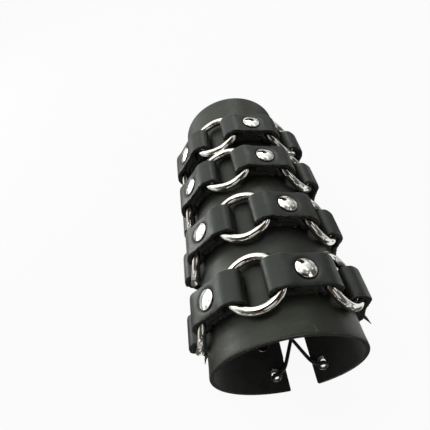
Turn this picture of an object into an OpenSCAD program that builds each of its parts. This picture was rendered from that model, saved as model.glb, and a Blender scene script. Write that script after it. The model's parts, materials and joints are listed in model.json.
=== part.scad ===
// Laced leather gauntlet with four rows of riveted O-rings.
// The sleeve lies on its laced edge: +Y runs to the wrist, +Z up on the side of the middle rings, +X to
// the right. The rows follow one another a little askew round the sleeve.
// Angles called turn are measured round the sleeve from the top, and grow towards +X.

/* [Sleeve] */
// Length of the sleeve, from the elbow edge to the wrist edge
sleeve_len = 200; // [185:1:240]
// Outer radius at the elbow edge
elbow_r = 43.7; // [42:0.1:52]
// Outer radius at the wrist edge
wrist_r = 36.6; // [36:0.1:41]
// Thickness of the sleeve's leather
sleeve_t = 3; // [2.4:0.1:3.6]
// Width of the gap that the lace draws together
gap_w = 18; // [14:0.5:24]
// Bevel along the sleeve's edges
edge_bevel = 0.6; // [0.2:0.1:1]

/* [Rows] */
// Distance of the first row, nearest the wrist, from the elbow edge
row_1_at = 153.5; // [150:0.5:162]
// Distance of the second row from the elbow edge
row_2_at = 117.5; // [115:0.5:119]
// Distance of the third row from the elbow edge
row_3_at = 74.5; // [72:0.5:78]
// Distance of the fourth row from the elbow edge
row_4_at = 30; // [28:0.5:32]
// Shift of the first row's rings round the sleeve, to the right
row_1_shift = -4; // [-5:0.5:5]
// Shift of the second row's rings round the sleeve, to the right
row_2_shift = -2; // [-5:0.5:5]
// Shift of the third row's rings round the sleeve, to the right
row_3_shift = 1.5; // [-5:0.5:5]
// Shift of the fourth row's rings round the sleeve, to the right
row_4_shift = 0; // [-5:0.5:5]
// Distance between ring centres along a row
ring_pitch = 50; // [49:0.5:53]

/* [Rings] */
// Inside diameter of a ring
ring_id = 25.4; // [24:0.1:27]
// Diameter of the ring's wire
ring_wire = 5; // [4.4:0.1:5.4]
// Space under a ring at its middle
ring_rise = 0.9; // [0.6:0.1:1.4]
// Clearance between a ring and the leather folded round it
ring_play = 0.3; // [0.2:0.05:0.4]

/* [Straps] */
// Width of the straps
strap_w = 19; // [17:0.5:20]
// Thickness of the straps' leather
strap_t = 2.6; // [2.2:0.1:3]
// Space that a fold keeps over the layer below it
fold_loft = 0.6; // [0.1:0.1:0.8]
// Length of an end strap's folded end past its rivet
fold_lap = 7.5; // [7:0.1:9]
// Distance of an end strap's first rivet from its ring, along the row
end_fold = 29; // [28:0.5:30]
// Distance of the last rivet of an end strap from the middle of the gap
end_rivet_in = 22; // [21:0.5:24]

/* [Rivets] */
// Diameter of a rivet's domed cap
cap_d = 11.5; // [10:0.1:12]
// Height of the cap
cap_h = 1.9; // [1.4:0.1:2.4]
// Height of the cap's straight rim
cap_rim = 0.5; // [0.3:0.1:0.8]
// Diameter of the rivet's post
post_d = 4; // [3:0.1:4.6]
// Diameter of the flat cap on the inside
back_cap_d = 9.5; // [8:0.1:10.5]
// Thickness of the flat cap on the inside
back_cap_t = 0.8; // [0.6:0.1:1.2]

/* [Eyelets] */
// Distance of the first pair of eyelets from the elbow edge
elbow_eyelet_in = 10; // [8:0.5:12]
// Distance of the last pair of eyelets from the wrist edge
wrist_eyelet_in = 19; // [12:0.5:22]
// Distance of an eyelet's middle from the middle of the gap
eyelet_in = 17; // [16.5:0.1:20]
// Bore of an eyelet
eyelet_bore = 5; // [4.8:0.1:5.6]
// Diameter of an eyelet's flange
eyelet_flange_d = 9; // [8:0.1:10]
// Height of an eyelet's flange
eyelet_flange_h = 0.7; // [0.5:0.1:0.9]
// Wall of an eyelet's barrel
eyelet_wall = 0.35; // [0.25:0.05:0.5]
// Thickness of the washer on the inside
washer_t = 0.5; // [0.3:0.1:0.8]

/* [Lace] */
// Diameter of the lace
lace_d = 2.4; // [2:0.1:2.6]

/* [Hidden] */
$fn = 64;
SIDES = ["left", "right"];
SIDE_SIGN = [-1, 1];
RINGS = ["ring_left", "ring_middle", "ring_right"];
ROWS = [row_1_at, row_2_at, row_3_at, row_4_at];
SHIFTS = [row_1_shift, row_2_shift, row_3_shift, row_4_shift];
ROW_NAMES = ["row_1", "row_2", "row_3", "row_4"];

// The other pairs of eyelets lie midway between the rows.
eyelets_at = [
    elbow_eyelet_in, (row_4_at + row_3_at) / 2, (row_3_at + row_2_at) / 2, (row_2_at + row_1_at) / 2,
    sleeve_len - wrist_eyelet_in];

// Points along a fold's round end and along its bend over the wire
FOLD_STEPS = 14;
BEND_STEPS = 6;
LEATHER = "#26262a";
NICKEL = "#c8c8c4";
// Degrees in one radian
RADIAN = 180 / PI;
// Lifts a metal face off the face that it presses on
EPS = 0.02;
// How far a cut runs past what it cuts
past = 1;

// Leather that touches leather is drawn this far apart.
seat = 0.05;
// Flat leather round a rivet's cap
cap_margin = 0.25;
// Sides of the gap, and the half angle of the sleeve's cone
gap_half = gap_w / 2;
taper = atan((elbow_r - wrist_r) / sleeve_len);
// Ring: radius of the wire's own centre line, and its height over the sleeve
ring_r = (ring_id + ring_wire) / 2;
ring_lift = ring_wire / 2 + ring_rise;
// Channel: half the height of the hollow fold that a ring turns in
channel = ring_wire / 2 + ring_play;
// A straight fold can't follow the ring's hole, so it stands in from the hole's side.
// The sleeve's cone skews it a little against the ring.
fold_skew = 0.3;
// Direction in which the outside of a fold meets the sleeve, and how far in from the fold its foot starts
fold_foot_dir = 262;
fold_foot_in = 1;
// A hollow narrows to a crease: where it leaves the seat's edge, and how far the crease runs in and down
crease_out = 0.4;
crease_in = 1.2;
crease_drop = 0.2;
// A link's folded ends reach past its rivet to this far from the next ring's wire.
lap_gap = 0.5;
// Degrees that a hollow runs past the end of the other fold
lap_clear = 1;
// An end strap steps down from its seat: the drop at the fold's end, the length of the step,
// and the degrees that the long band starts before the step's foot
step_drop = 0.3;
step_run = 3;
band_overlap = 4;
// Turn at which a band is cut off past the edge of the gap
band_end = 179;
// Leather under each rivet's cap, from the link to the gap
RIVET_STACK = [3 * strap_t + 2 * fold_loft, 2 * strap_t + fold_loft, strap_t];
fold_x = sqrt(pow(ring_id / 2, 2) - pow(strap_w / 2, 2)) - fold_skew - ring_play + channel;
seat_half = cap_d / 2 + cap_margin;

function sleeve_r(at) = elbow_r + (wrist_r - elbow_r) * at / sleeve_len;
function row_turn(row) = SHIFTS[row] / sleeve_r(ROWS[row]) * RADIAN;
function ring_turn(at) = ring_pitch / (sleeve_r(at) + ring_lift) * RADIAN;
function end_fold_turn(at) = end_fold / (sleeve_r(at) + ring_lift) * RADIAN;
function end_rivet_turn(at) = 180 - end_rivet_in / sleeve_r(at) * RADIAN;
function polar(r, turn) = [r * sin(turn), r * cos(turn)];
function steps(from, to, count) = [for (i = [0:count]) from + (to - from) * i / count];

// The sleeve rests on the ends of the straps of rows 1 and 4.
function rest_depth(at) = sqrt(pow(sleeve_r(at) + strap_t, 2) - pow(gap_half, 2));
lie_tilt = atan((rest_depth(row_4_at) - rest_depth(row_1_at)) / (row_1_at - row_4_at));
rest_h = rest_depth(row_4_at) * cos(lie_tilt) + row_4_at * sin(lie_tilt);
middle_y = (sleeve_len * cos(lie_tilt) + (wrist_r - elbow_r) * sin(lie_tilt)) / 2;

// Places the sleeve's own frame, with its elbow edge at y = 0, on the surface that it lies on.
module lie() translate([0, -middle_y, rest_h]) rotate([-lie_tilt, 0, 0]) children();

function lie_point(p) = [
    p[0],
    p[1] * cos(lie_tilt) + p[2] * sin(lie_tilt) - middle_y,
    p[2] * cos(lie_tilt) - p[1] * sin(lie_tilt) + rest_h];

// Local frame on the sleeve's surface: X round the sleeve, Y to the wrist, Z outwards
module on_sleeve(at, turn)
    rotate([0, turn, 0]) translate([0, at, sleeve_r(at)]) rotate([-taper, 0, 0]) children();

// Turns a profile of [radius, distance from the elbow edge] round the sleeve's axis.
module turned(from, to)
    rotate([-90, 0, 0]) rotate([0, 0, from - 90]) rotate_extrude(angle = to - from) children();

module sleeve_cone(grow) rotate([-90, 0, 0])
    cylinder(h = sleeve_len, r1 = elbow_r + grow, r2 = wrist_r + grow);

module lacing_gap() translate([-gap_half, -past, -2 * elbow_r])
    cube([gap_w, sleeve_len + 2 * past, 2 * elbow_r]);

module across(width) rotate([90, 0, 0]) linear_extrude(width, center = true) children();

// Sleeve

module sleeve_wall() turned(0, 360) polygon([
    [elbow_r - edge_bevel, 0],
    [sleeve_r(edge_bevel), edge_bevel],
    [sleeve_r(sleeve_len - edge_bevel), sleeve_len - edge_bevel],
    [wrist_r - edge_bevel, sleeve_len],
    [wrist_r - sleeve_t + edge_bevel, sleeve_len],
    [sleeve_r(sleeve_len - edge_bevel) - sleeve_t, sleeve_len - edge_bevel],
    [sleeve_r(edge_bevel) - sleeve_t, edge_bevel],
    [elbow_r - sleeve_t + edge_bevel, 0]]);

module post_hole() translate([0, 0, -2 * sleeve_t])
    cylinder(h = 2 * sleeve_t + RIVET_STACK[0] + 2 * past, d = post_d + 2 * seat);

module sleeve() color(LEATHER) lie() difference() {
    sleeve_wall();
    lacing_gap();
    for (row = [0:3], side = SIDE_SIGN) {
        for (turn = rivet_turns(row, side)) on_sleeve(ROWS[row], turn) post_hole();
    }
    for (at = eyelets_at, side = SIDE_SIGN)
        on_eyelet(at, side) translate([0, 0, -2 * sleeve_t])
            cylinder(h = 4 * sleeve_t, d = eyelet_bore + 2 * eyelet_wall + 2 * seat);
}

// Rings

module ring(row, place) {
    at = ROWS[row];
    color(NICKEL) lie() on_sleeve(at, row_turn(row) + place * ring_turn(at)) translate([0, 0, ring_lift])
        rotate_extrude() translate([ring_r, 0]) circle(d = ring_wire, $fn = 32);
}

// Straps
// A fold is drawn in the frame of its rivet: x along the row, y outwards, both from the sleeve's surface.

// Brings a point of the ring's own frame, x towards the rivet, to the rivet's frame.
function at_rivet(p, r, beta) = let (turn = atan2(p[0], r + p[1]) - beta, far = norm([p[0], r + p[1]]))
    [far * sin(turn), far * cos(turn) - r];
function at_ring(p, r, beta) = let (turn = atan2(p[0], r + p[1]) + beta, far = norm([p[0], r + p[1]]))
    [far * sin(turn), far * cos(turn) - r];
function arc(x, y, r, from, to, count) = [for (a = steps(from, to, count))
    [x + r * cos(a), y + r * sin(a)]];

// Direction from the ring's wire at which a face of the top layer, bent round it at a radius, runs
// straight to a point by the rivet
function leave_dir(r, beta, point, radius) =
    let (to_point = at_ring(point, r, beta) - [ring_r, ring_lift])
    atan2(to_point[1], to_point[0]) + acos(min(1, radius / norm(to_point)));

// Outside of one fold, from under the ring up over its wire and down to the rivet's seat
function fold_outside(r, beta, stack) =
    let (
        outer = channel + strap_t,
        leave = leave_dir(r, beta, [-seat_half, stack], outer))
    concat(
        [for (p = concat(
            arc(fold_x, ring_lift, outer, fold_foot_dir, 90, FOLD_STEPS),
            arc(ring_r, ring_lift, outer, 90, leave, BEND_STEPS)))
            at_rivet(p, r, beta)],
        [[-seat_half, stack]]);

function link_lap_turn(r) = (ring_pitch / 2 - ring_r - ring_wire / 2 - lap_gap) / (r + ring_lift) * RADIAN;

// Hollow of one fold, round the wire and narrowing to the rivet
function fold_hollow(r, beta, stack, lap_turn) =
    let (
        floor_y = ring_lift - channel,
        floor_x = sqrt(pow(r + strap_t, 2) - pow(r + floor_y, 2)),
        under = stack - strap_t,
        leave = leave_dir(r, beta, [-seat_half - crease_out, under], channel),
        lower = [for (turn = steps(asin(floor_x / (r + strap_t)) - beta, -lap_turn - lap_clear, 4))
            polar(r + strap_t, turn) - [0, r]],
        lap = [polar(r + under, -lap_turn) - [0, r]])
    concat(
        [for (p = concat(
            arc(fold_x, ring_lift, channel, 270, 90, FOLD_STEPS),
            arc(ring_r, ring_lift, channel, 90, leave, BEND_STEPS)))
            at_rivet(p, r, beta)],
        [[-seat_half - crease_out, under], [-seat_half + crease_in, under - crease_drop]],
        stack == RIVET_STACK[0] ? lap : [],
        [for (i = [len(lower) - 1:-1:0]) lower[i]]);

// Points under the sleeve's surface that close a profile below, later cut off along the sleeve
function below(r, from, to) = [for (turn = steps(from, to, 8)) polar(r - past, turn) - [0, r]];

function mirrored(points) = [for (i = [len(points) - 1:-1:0]) [-points[i][0], points[i][1]]];

module link_profile(r, beta) {
    half = fold_outside(r, beta, RIVET_STACK[0]);
    foot = beta - asin((fold_x - fold_foot_in) / r);
    hollow = fold_hollow(r, beta, RIVET_STACK[0], link_lap_turn(r));
    difference() {
        polygon(concat(half, mirrored(half), below(r, foot, -foot)));
        polygon(hollow);
        polygon(mirrored(hollow));
    }
}

module link(row, side) {
    at = ROWS[row];
    beta = ring_turn(at) / 2;
    color(LEATHER) lie() difference() {
        on_sleeve(at, row_turn(row) + side * beta) difference() {
            across(strap_w) link_profile(sleeve_r(at), beta);
            post_hole();
        }
        sleeve_cone(seat);
    }
}

// An end strap folds round its ring like a link, then steps down to the sleeve past its first rivet.
module end_fold_profile(r, beta, step_turn) {
    half = fold_outside(r, beta, RIVET_STACK[1]);
    foot = beta - asin((fold_x - fold_foot_in) / r);
    difference() {
        polygon(concat(
            half,
            [[fold_lap, RIVET_STACK[1] - step_drop]],
            [polar(r + strap_t - 4 * seat, step_turn) - [0, r]],
            below(r, step_turn, -foot)));
        polygon(fold_hollow(r, beta, RIVET_STACK[1], fold_lap / r * RADIAN));
    }
}

module end_band(at, from, to) {
    elbow_side = at - strap_w / 2 + 2 * seat;
    wrist_side = at + strap_w / 2 - 2 * seat;
    turned(from, to) polygon([
        [sleeve_r(elbow_side) + seat, elbow_side],
        [sleeve_r(elbow_side) + strap_t, elbow_side],
        [sleeve_r(wrist_side) + strap_t, wrist_side],
        [sleeve_r(wrist_side) + seat, wrist_side]]);
}

module end_strap_right(at, shift_turn) {
    beta = end_fold_turn(at);
    first = ring_turn(at) + beta + shift_turn;
    step_turn = (fold_lap + step_run) / sleeve_r(at) * RADIAN;
    difference() {
        union() {
            on_sleeve(at, first) across(strap_w) end_fold_profile(sleeve_r(at), beta, step_turn);
            end_band(at, first + step_turn - band_overlap, band_end);
        }
        sleeve_cone(seat);
        lacing_gap();
        on_sleeve(at, first) post_hole();
        on_sleeve(at, end_rivet_turn(at)) post_hole();
    }
}

module end_strap(row, side) color(LEATHER) lie()
    if (side > 0) end_strap_right(ROWS[row], row_turn(row));
    else mirror([1, 0, 0]) end_strap_right(ROWS[row], -row_turn(row));

// Rivets
// Each half row has a rivet through its link and two through its end strap.

function rivet_turns(row, side) = let (at = ROWS[row]) [
    row_turn(row) + side * ring_turn(at) / 2,
    row_turn(row) + side * (ring_turn(at) + end_fold_turn(at)),
    side * end_rivet_turn(at)];

module rivet_cap() {
    dome = cap_h - cap_rim;
    dome_r = (pow(cap_d / 2, 2) + pow(dome, 2)) / (2 * dome);
    intersection() {
        cylinder(h = cap_h + past, d = cap_d);
        translate([0, 0, cap_h - dome_r]) sphere(r = dome_r);
    }
}

// The flat cap lies against the hollow side of the sleeve, so it touches at its rim.
module rivet_post(at, stack) {
    hollow_r = sleeve_r(at) - sleeve_t;
    drop = hollow_r - sqrt(pow(hollow_r, 2) - pow(back_cap_d / 2, 2));
    back_h = -sleeve_t - drop - seat;
    translate([0, 0, back_h - back_cap_t]) {
        cylinder(h = back_cap_t, d = back_cap_d);
        cylinder(h = stack - back_h + back_cap_t, d = post_d);
    }
}

module rivet_caps(row) color(NICKEL) lie() for (side = SIDE_SIGN, i = [0:2])
    on_sleeve(ROWS[row], rivet_turns(row, side)[i]) translate([0, 0, RIVET_STACK[i] + EPS]) rivet_cap();

module rivet_posts(row) color(NICKEL) lie() for (side = SIDE_SIGN, i = [0:2])
    on_sleeve(ROWS[row], rivet_turns(row, side)[i]) rivet_post(ROWS[row], RIVET_STACK[i]);

// Eyelets

function eyelet_turn(at) = 180 - eyelet_in / sleeve_r(at) * RADIAN;
module on_eyelet(at, side) on_sleeve(at, side * eyelet_turn(at)) children();
washer_drop = sleeve_t + 0.3;
// Rounding of the flange, its mouth's flare, and how far the washer stays inside the flange's edge
flange_round = 0.5;
mouth_flare = 0.6;
washer_in = 0.3;

module eyelet() rotate_extrude() polygon([
    [eyelet_bore / 2, -washer_drop - washer_t],
    [eyelet_bore / 2 + eyelet_wall, -washer_drop - washer_t],
    [eyelet_bore / 2 + eyelet_wall, seat],
    [eyelet_flange_d / 2, seat],
    [eyelet_flange_d / 2, eyelet_flange_h / 2],
    [eyelet_flange_d / 2 - flange_round, eyelet_flange_h],
    [eyelet_bore / 2 + mouth_flare, eyelet_flange_h],
    [eyelet_bore / 2, eyelet_flange_h / 4]]);

module eyelet_washer() translate([0, 0, -washer_drop - washer_t]) difference() {
    cylinder(h = washer_t, d = eyelet_flange_d - 2 * washer_in);
    translate([0, 0, -past]) cylinder(h = washer_t + 2 * past, d = eyelet_bore + 2 * eyelet_wall + 2 * seat);
}

module eyelets() color(NICKEL) lie() for (at = eyelets_at, side = SIDE_SIGN) on_eyelet(at, side) eyelet();

module eyelet_washers() color(NICKEL) lie()
    for (at = eyelets_at, side = SIDE_SIGN) on_eyelet(at, side) eyelet_washer();

// Lace
// It starts as a bar inside the pair of eyelets nearest the wrist, and both halves cross outside the gap to
// each next pair, going under the leather's edge and out through the bore. A loose end leaves each eyelet of
// the pair nearest the elbow and lies on the surface below.

LACE_SIDES = 8;
lace_r = lace_d / 2;
// Space round the lace, and its rise over the flange where it bends out of the bore
lace_play = 0.15;
lace_rise = 0.45;
lace_out = eyelet_flange_h + lace_r + lace_rise;
lace_in = -washer_drop - washer_t - lace_r - lace_play;
// The bend through a bore: its radius, and its middle, which brings the lace to the bore's outer side
lace_bend = (lace_out - lace_in) / 2;
bore_side = 0.9;
lace_bend_at = eyelet_in + bore_side - lace_bend;
lace_over = lace_r + lace_play;
// Heights at which the two halves cross, and where they pass the edges of the gap
lace_cross = 0.3;
lace_under_cross = lace_cross - lace_d - 0.5;
lace_edge = gap_half - 0.2;
lace_slant = 4.5;
// A loose end leaves its bore a little outwards of the middle.
end_side = 0.6;
end_lean = 1;
// The loose ends start in the middle of the bore and narrow to a point.
lace_join = -sleeve_t / 2;
lace_point = 0.3;
// Where the loose ends lie: x and y of each point on the surface below
right_end = [
    [23.5, -90], [29, -88], [33, -82], [34.5, -72], [34.5, -58], [36, -50.5], [40, -48], [44, -51],
    [45, -58], [46.5, -64.5], [49.4, -69.2], [51.4, -74]];
left_end = [
    [-23.5, -90], [-30, -88.5], [-35, -84], [-36.5, -74], [-35.5, -60], [-37.5, -50], [-43, -45.5],
    [-48.5, -48.5], [-51.5, -55], [-57, -60.5], [-61.8, -65], [-63.6, -70.2]];

// A point at an arc length from the middle of the gap and a height over the sleeve
function on_back(s, h, at) = let (turn = 180 - s / sleeve_r(at) * RADIAN)
    lie_point([(sleeve_r(at) + h) * sin(turn), at, (sleeve_r(at) + h) * cos(turn)]);

function lace_bend_points(side, at, to_dir, count) = [for (a = steps(-90, to_dir, count))
    on_back(side * (lace_bend_at + lace_bend * cos(a)),
        (lace_out + lace_in) / 2 + lace_bend * sin(a), at)];

function lace_cross_points(side, from_at, to_at, mid_h) = [
    on_back(side * lace_edge, lace_over, from_at - lace_slant),
    on_back(0, mid_h, (from_at + to_at) / 2),
    on_back(-side * lace_edge, -sleeve_t - lace_over, to_at + lace_slant)];

// One half of the lace, from the bar to the eyelet nearest the elbow; side is where it starts.
function lace_half(side, mid_h) = let (last = len(eyelets_at) - 1, last_side = side * pow(-1, last)) concat(
    [for (k = [last:-1:1], p = let (s = side * pow(-1, last - k)) concat(
        lace_bend_points(s, eyelets_at[k], 90, 3),
        lace_cross_points(s, eyelets_at[k], eyelets_at[k - 1], mid_h))) p],
    lace_bend_points(last_side, eyelets_at[0], -30, 1),
    [for (h = [lace_join - 1, lace_join]) on_back(last_side * (eyelet_in + end_side), h, eyelets_at[0])]);

function reversed(list) = [for (i = [len(list) - 1:-1:0]) list[i]];

lace_route = concat(
    reversed(lace_half(-1, lace_under_cross)),
    [on_back(0, -sleeve_t - lace_over, eyelets_at[len(eyelets_at) - 1])],
    lace_half(1, lace_cross));

function lace_end_route(side, points) = concat(
    [for (h = [lace_join, lace_join + 1]) on_back(side * (eyelet_in + end_side), h, eyelets_at[0])],
    [on_back(side * (eyelet_in + end_side + end_lean), lace_out + lace_play, eyelets_at[0])],
    [for (p = points) [p[0], p[1], lace_r + EPS]]);

function unit(v) = v / norm(v);
function along(path, i) = unit(path[min(i + 1, len(path) - 1)] - path[max(i - 1, 0)]);
// Square directions carried along the path without twist
function carried(path) = [for (
    i = 0, side = unit(cross(along(path, 0), [0, 0, 1]));
    i < len(path);
    i = i + 1, side = i < len(path) ? unit(side - (side * along(path, i)) * along(path, i)) : side) side];

module tube(path, r, count, tip = 1) {
    sides = carried(path);
    last = len(path) - 1;
    points = [for (i = [0:last], k = [0:count - 1])
        let (
            a = 360 * k / count,
            up = cross(along(path, i), sides[i]),
            size = i == last ? tip * r : r)
        path[i] + size * (cos(a) * sides[i] + sin(a) * up)];
    walls = [for (i = [0:last - 1], k = [0:count - 1], half = [0, 1])
        let (a = i * count + k, b = i * count + (k + 1) % count)
        half == 0 ? [a, a + count, b] : [b, a + count, b + count]];
    start = [for (k = [1:count - 2]) [0, k, k + 1]];
    end = [for (k = [1:count - 2]) [last * count, last * count + k + 1, last * count + k]];
    polyhedron(points, concat(walls, start, end), convexity = 10);
}

module lace() color(LEATHER) tube(lace_route, lace_r, LACE_SIDES);
module lace_end(side, points) color(LEATHER)
    tube(lace_end_route(side, points), lace_r, LACE_SIDES, tip = lace_point);

sleeve();
for (row = [0:3]) {
    for (i = [0:2])
        ring(row, i - 1);
    for (i = [0:1]) {
        link(row, SIDE_SIGN[i]);
        end_strap(row, SIDE_SIGN[i]);
    }
    rivet_caps(row);
    rivet_posts(row);
}
eyelets();
eyelet_washers();
lace();
lace_end(-1, left_end);  // lace_end_left
lace_end(1, right_end);  // lace_end_right
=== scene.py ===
"""Looks of the laced gauntlet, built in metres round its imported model."""

import json
import math

import bmesh
import bpy
from mathutils import Euler, Matrix, Vector, noise

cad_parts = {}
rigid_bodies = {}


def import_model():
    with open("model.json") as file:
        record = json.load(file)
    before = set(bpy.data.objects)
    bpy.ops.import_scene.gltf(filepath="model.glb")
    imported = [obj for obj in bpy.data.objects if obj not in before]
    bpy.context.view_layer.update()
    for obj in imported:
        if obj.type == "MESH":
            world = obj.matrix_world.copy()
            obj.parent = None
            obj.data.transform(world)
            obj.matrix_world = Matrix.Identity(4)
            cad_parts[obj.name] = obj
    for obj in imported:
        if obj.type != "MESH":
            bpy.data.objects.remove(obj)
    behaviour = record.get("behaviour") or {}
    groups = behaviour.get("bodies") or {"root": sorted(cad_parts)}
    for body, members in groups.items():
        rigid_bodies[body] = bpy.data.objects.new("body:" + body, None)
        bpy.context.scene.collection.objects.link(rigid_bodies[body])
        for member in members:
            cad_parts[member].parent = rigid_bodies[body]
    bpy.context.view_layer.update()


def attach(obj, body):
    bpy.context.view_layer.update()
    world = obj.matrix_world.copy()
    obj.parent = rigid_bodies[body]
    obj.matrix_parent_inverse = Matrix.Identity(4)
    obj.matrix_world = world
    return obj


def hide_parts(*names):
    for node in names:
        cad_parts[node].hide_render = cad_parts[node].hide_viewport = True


for leftover in list(bpy.data.objects):
    bpy.data.objects.remove(leftover)
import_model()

MM = 0.001

# Sizes of the real pieces, as in the part's source
SLEEVE_LEN = 200 * MM
ELBOW_R = 43.7 * MM
WRIST_R = 36.6 * MM
SLEEVE_T = 3 * MM
GAP_W = 18 * MM
ROWS = {"row_1": 153.5 * MM, "row_2": 117.5 * MM, "row_3": 74.5 * MM, "row_4": 30 * MM}
SHIFTS = {"row_1": -4 * MM, "row_2": -2 * MM, "row_3": 1.5 * MM, "row_4": 0}
SIDES = {"left": -1, "right": 1}
RINGS = {"left": -1, "middle": 0, "right": 1}
RING_PITCH = 50 * MM
RING_ID = 25.4 * MM
RING_WIRE = 5 * MM
RING_RISE = 0.9 * MM
RING_PLAY = 0.3 * MM
STRAP_W = 19 * MM
STRAP_T = 2.6 * MM
FOLD_LOFT = 0.6 * MM
FOLD_LAP = 7.5 * MM
END_FOLD = 29 * MM
END_RIVET_IN = 22 * MM
CAP_D = 11.5 * MM
CAP_H = 1.9 * MM
POST_D = 4 * MM
BACK_CAP_D = 9.5 * MM
BACK_CAP_T = 0.8 * MM
ELBOW_EYELET_IN = 10 * MM
WRIST_EYELET_IN = 19 * MM
EYELET_IN = 17 * MM
EYELET_BORE = 5 * MM
EYELET_FLANGE_D = 9 * MM
EYELET_FLANGE_H = 0.7 * MM
EYELET_WALL = 0.35 * MM
WASHER_T = 0.5 * MM
WASHER_DROP = SLEEVE_T + 0.3 * MM
LACE_D = 2.4 * MM

# Space between leather faces that touch
CREASE = 0.05 * MM
# Flat leather round a rivet's cap
CAP_MARGIN = 0.25 * MM
# Space from a link's folded end to the next ring's wire
LAP_GAP = 0.5 * MM
# The sleeve's cone skews a fold a little against its ring.
FOLD_SKEW = 0.3 * MM

GAP_HALF = GAP_W / 2
TAPER = math.atan((ELBOW_R - WRIST_R) / SLEEVE_LEN)
RING_R = (RING_ID + RING_WIRE) / 2
RING_LIFT = RING_WIRE / 2 + RING_RISE
CHANNEL = RING_WIRE / 2 + RING_PLAY
FOLD_X = math.sqrt((RING_ID / 2) ** 2 - (STRAP_W / 2) ** 2) - FOLD_SKEW - RING_PLAY + CHANNEL
SEAT_HALF = CAP_D / 2 + CAP_MARGIN
RIVET_STACK = [3 * STRAP_T + 2 * FOLD_LOFT, 2 * STRAP_T + FOLD_LOFT, STRAP_T]


def sleeve_r(at):
    """Radius of the sleeve's outside at a distance from the elbow."""
    return ELBOW_R + (WRIST_R - ELBOW_R) * at / SLEEVE_LEN


def row_turn(row):
    """Turn of a row's middle ring from the top."""
    return SHIFTS[row] / sleeve_r(ROWS[row])


def ring_turn(at):
    """Turn from one ring to the next."""
    return RING_PITCH / (sleeve_r(at) + RING_LIFT)


def end_fold_turn(at):
    """Turn from an outer ring to the first rivet of its end strap."""
    return END_FOLD / (sleeve_r(at) + RING_LIFT)


def end_rivet_turn(at):
    """Turn of an end strap's last rivet, by the gap."""
    return math.pi - END_RIVET_IN / sleeve_r(at)


def rest_depth(at):
    """How far under the sleeve's axis an end strap's edge by the gap is."""
    return math.sqrt((sleeve_r(at) + STRAP_T) ** 2 - GAP_HALF ** 2)


LOW_AT = ROWS["row_4"]
HIGH_AT = ROWS["row_1"]
LIE_TILT = math.atan((rest_depth(LOW_AT) - rest_depth(HIGH_AT)) / (HIGH_AT - LOW_AT))
REST_H = rest_depth(LOW_AT) * math.cos(LIE_TILT) + LOW_AT * math.sin(LIE_TILT)
MIDDLE_Y = (SLEEVE_LEN * math.cos(LIE_TILT) + (WRIST_R - ELBOW_R) * math.sin(LIE_TILT)) / 2
LIE = Matrix.Translation((0, -MIDDLE_Y, REST_H)) @ Matrix.Rotation(-LIE_TILT, 4, "X")


def on_sleeve(at, turn):
    """Frame on the sleeve's surface: X round the sleeve, Y to the wrist, Z outwards."""
    out = Matrix.Translation((0, at, sleeve_r(at))) @ Matrix.Rotation(-TAPER, 4, "X")
    return LIE @ Matrix.Rotation(turn, 4, "Y") @ out


def steps(first, last, count):
    return [first + (last - first) * i / count for i in range(count + 1)]


def smooth_step(value, low, high):
    """0 up to a low value, 1 from a high one and smooth between them."""
    share = min(1.0, max(0.0, (value - low) / (high - low)))
    return share * share * (3 - 2 * share)


# Camera at the photograph's viewing angle

CAMERA_PLACE = (0.0333, -0.1611, 0.2695)
CAMERA_TURN = (34.83, 20.94, -9.16)
CAMERA_LENS = 33.49
SENSOR_W = 36
NEAR_CLIP = 0.01


def add_camera():
    data = bpy.data.cameras.new("camera")
    camera = bpy.data.objects.new("camera", data)
    bpy.context.scene.collection.objects.link(camera)
    camera.location = CAMERA_PLACE
    camera.rotation_euler = Euler([math.radians(a) for a in CAMERA_TURN])
    data.sensor_width = SENSOR_W
    data.lens = CAMERA_LENS
    data.clip_start = NEAR_CLIP
    bpy.context.scene.camera = camera


# Finishes

# Colours of marks on the leather: its worn rim with a painted highlight, dust, painted shade at
# caps, scratches and fibres
RIM_WEAR_AND_HIGHLIGHT = (0.24, 0.24, 0.22)
DUST = (0.12, 0.12, 0.11)
PAINTED_CAP_SHADE = (0.002, 0.002, 0.002)
SCRATCHED = (0.07, 0.07, 0.062)
FIBRE = (0.12, 0.12, 0.11)

# Scales of the patterns, the larger the finer
STREAK_SCALE = (14, 190, 1)
MOTTLE_SCALE = 55
BROAD_SCALE = 16
DUST_SCALE = 160.0
GRAIN_SCALE = 260
PORE_SCALE = 1500.0
FLESH_SCALE = 120
NAP_SCALE = 900
FIBRE_SCALE = 700
HAZE_SCALE = 180
RIPPLE_SCALE = 300

SCRATCH_HALF = 0.3 * MM
STROKE_CORE = 0.3
STREAK_GLOSS = (-0.06, 0.08)
MOTTLE_GLOSS = (-0.04, 0.04)
# Roughness of the painted shade at the rivet caps
CAP_SHADE_ROUGHNESS = 0.95


def new_finish(name):
    finish = bpy.data.materials.new(name)
    finish.use_nodes = True
    return finish, finish.node_tree, finish.node_tree.nodes["Principled BSDF"]


def add_node(tree, kind, values=None, **settings):
    made = tree.nodes.new("ShaderNode" + kind)
    for name, value in settings.items():
        setattr(made, name, value)
    for name, value in (values or {}).items():
        made.inputs[name].default_value = value
    return made


def join(tree, out, into):
    tree.links.new(out, into)


def ramp(tree, fac, low, high, low_value, high_value):
    """Maps a value's range to another range."""
    made = add_node(tree, "MapRange", {
        "From Min": low, "From Max": high, "To Min": low_value, "To Max": high_value})
    join(tree, fac, made.inputs["Value"])
    return made.outputs["Result"]


def blend_colour(tree, fac, low, high):
    made = add_node(tree, "Mix", data_type="RGBA")
    join(tree, fac, made.inputs["Factor"])
    for socket, colour in ((made.inputs[6], low), (made.inputs[7], high)):
        if isinstance(colour, bpy.types.NodeSocket):
            join(tree, colour, socket)
        else:
            socket.default_value = (*colour, 1)
    return made.outputs[2]


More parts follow.
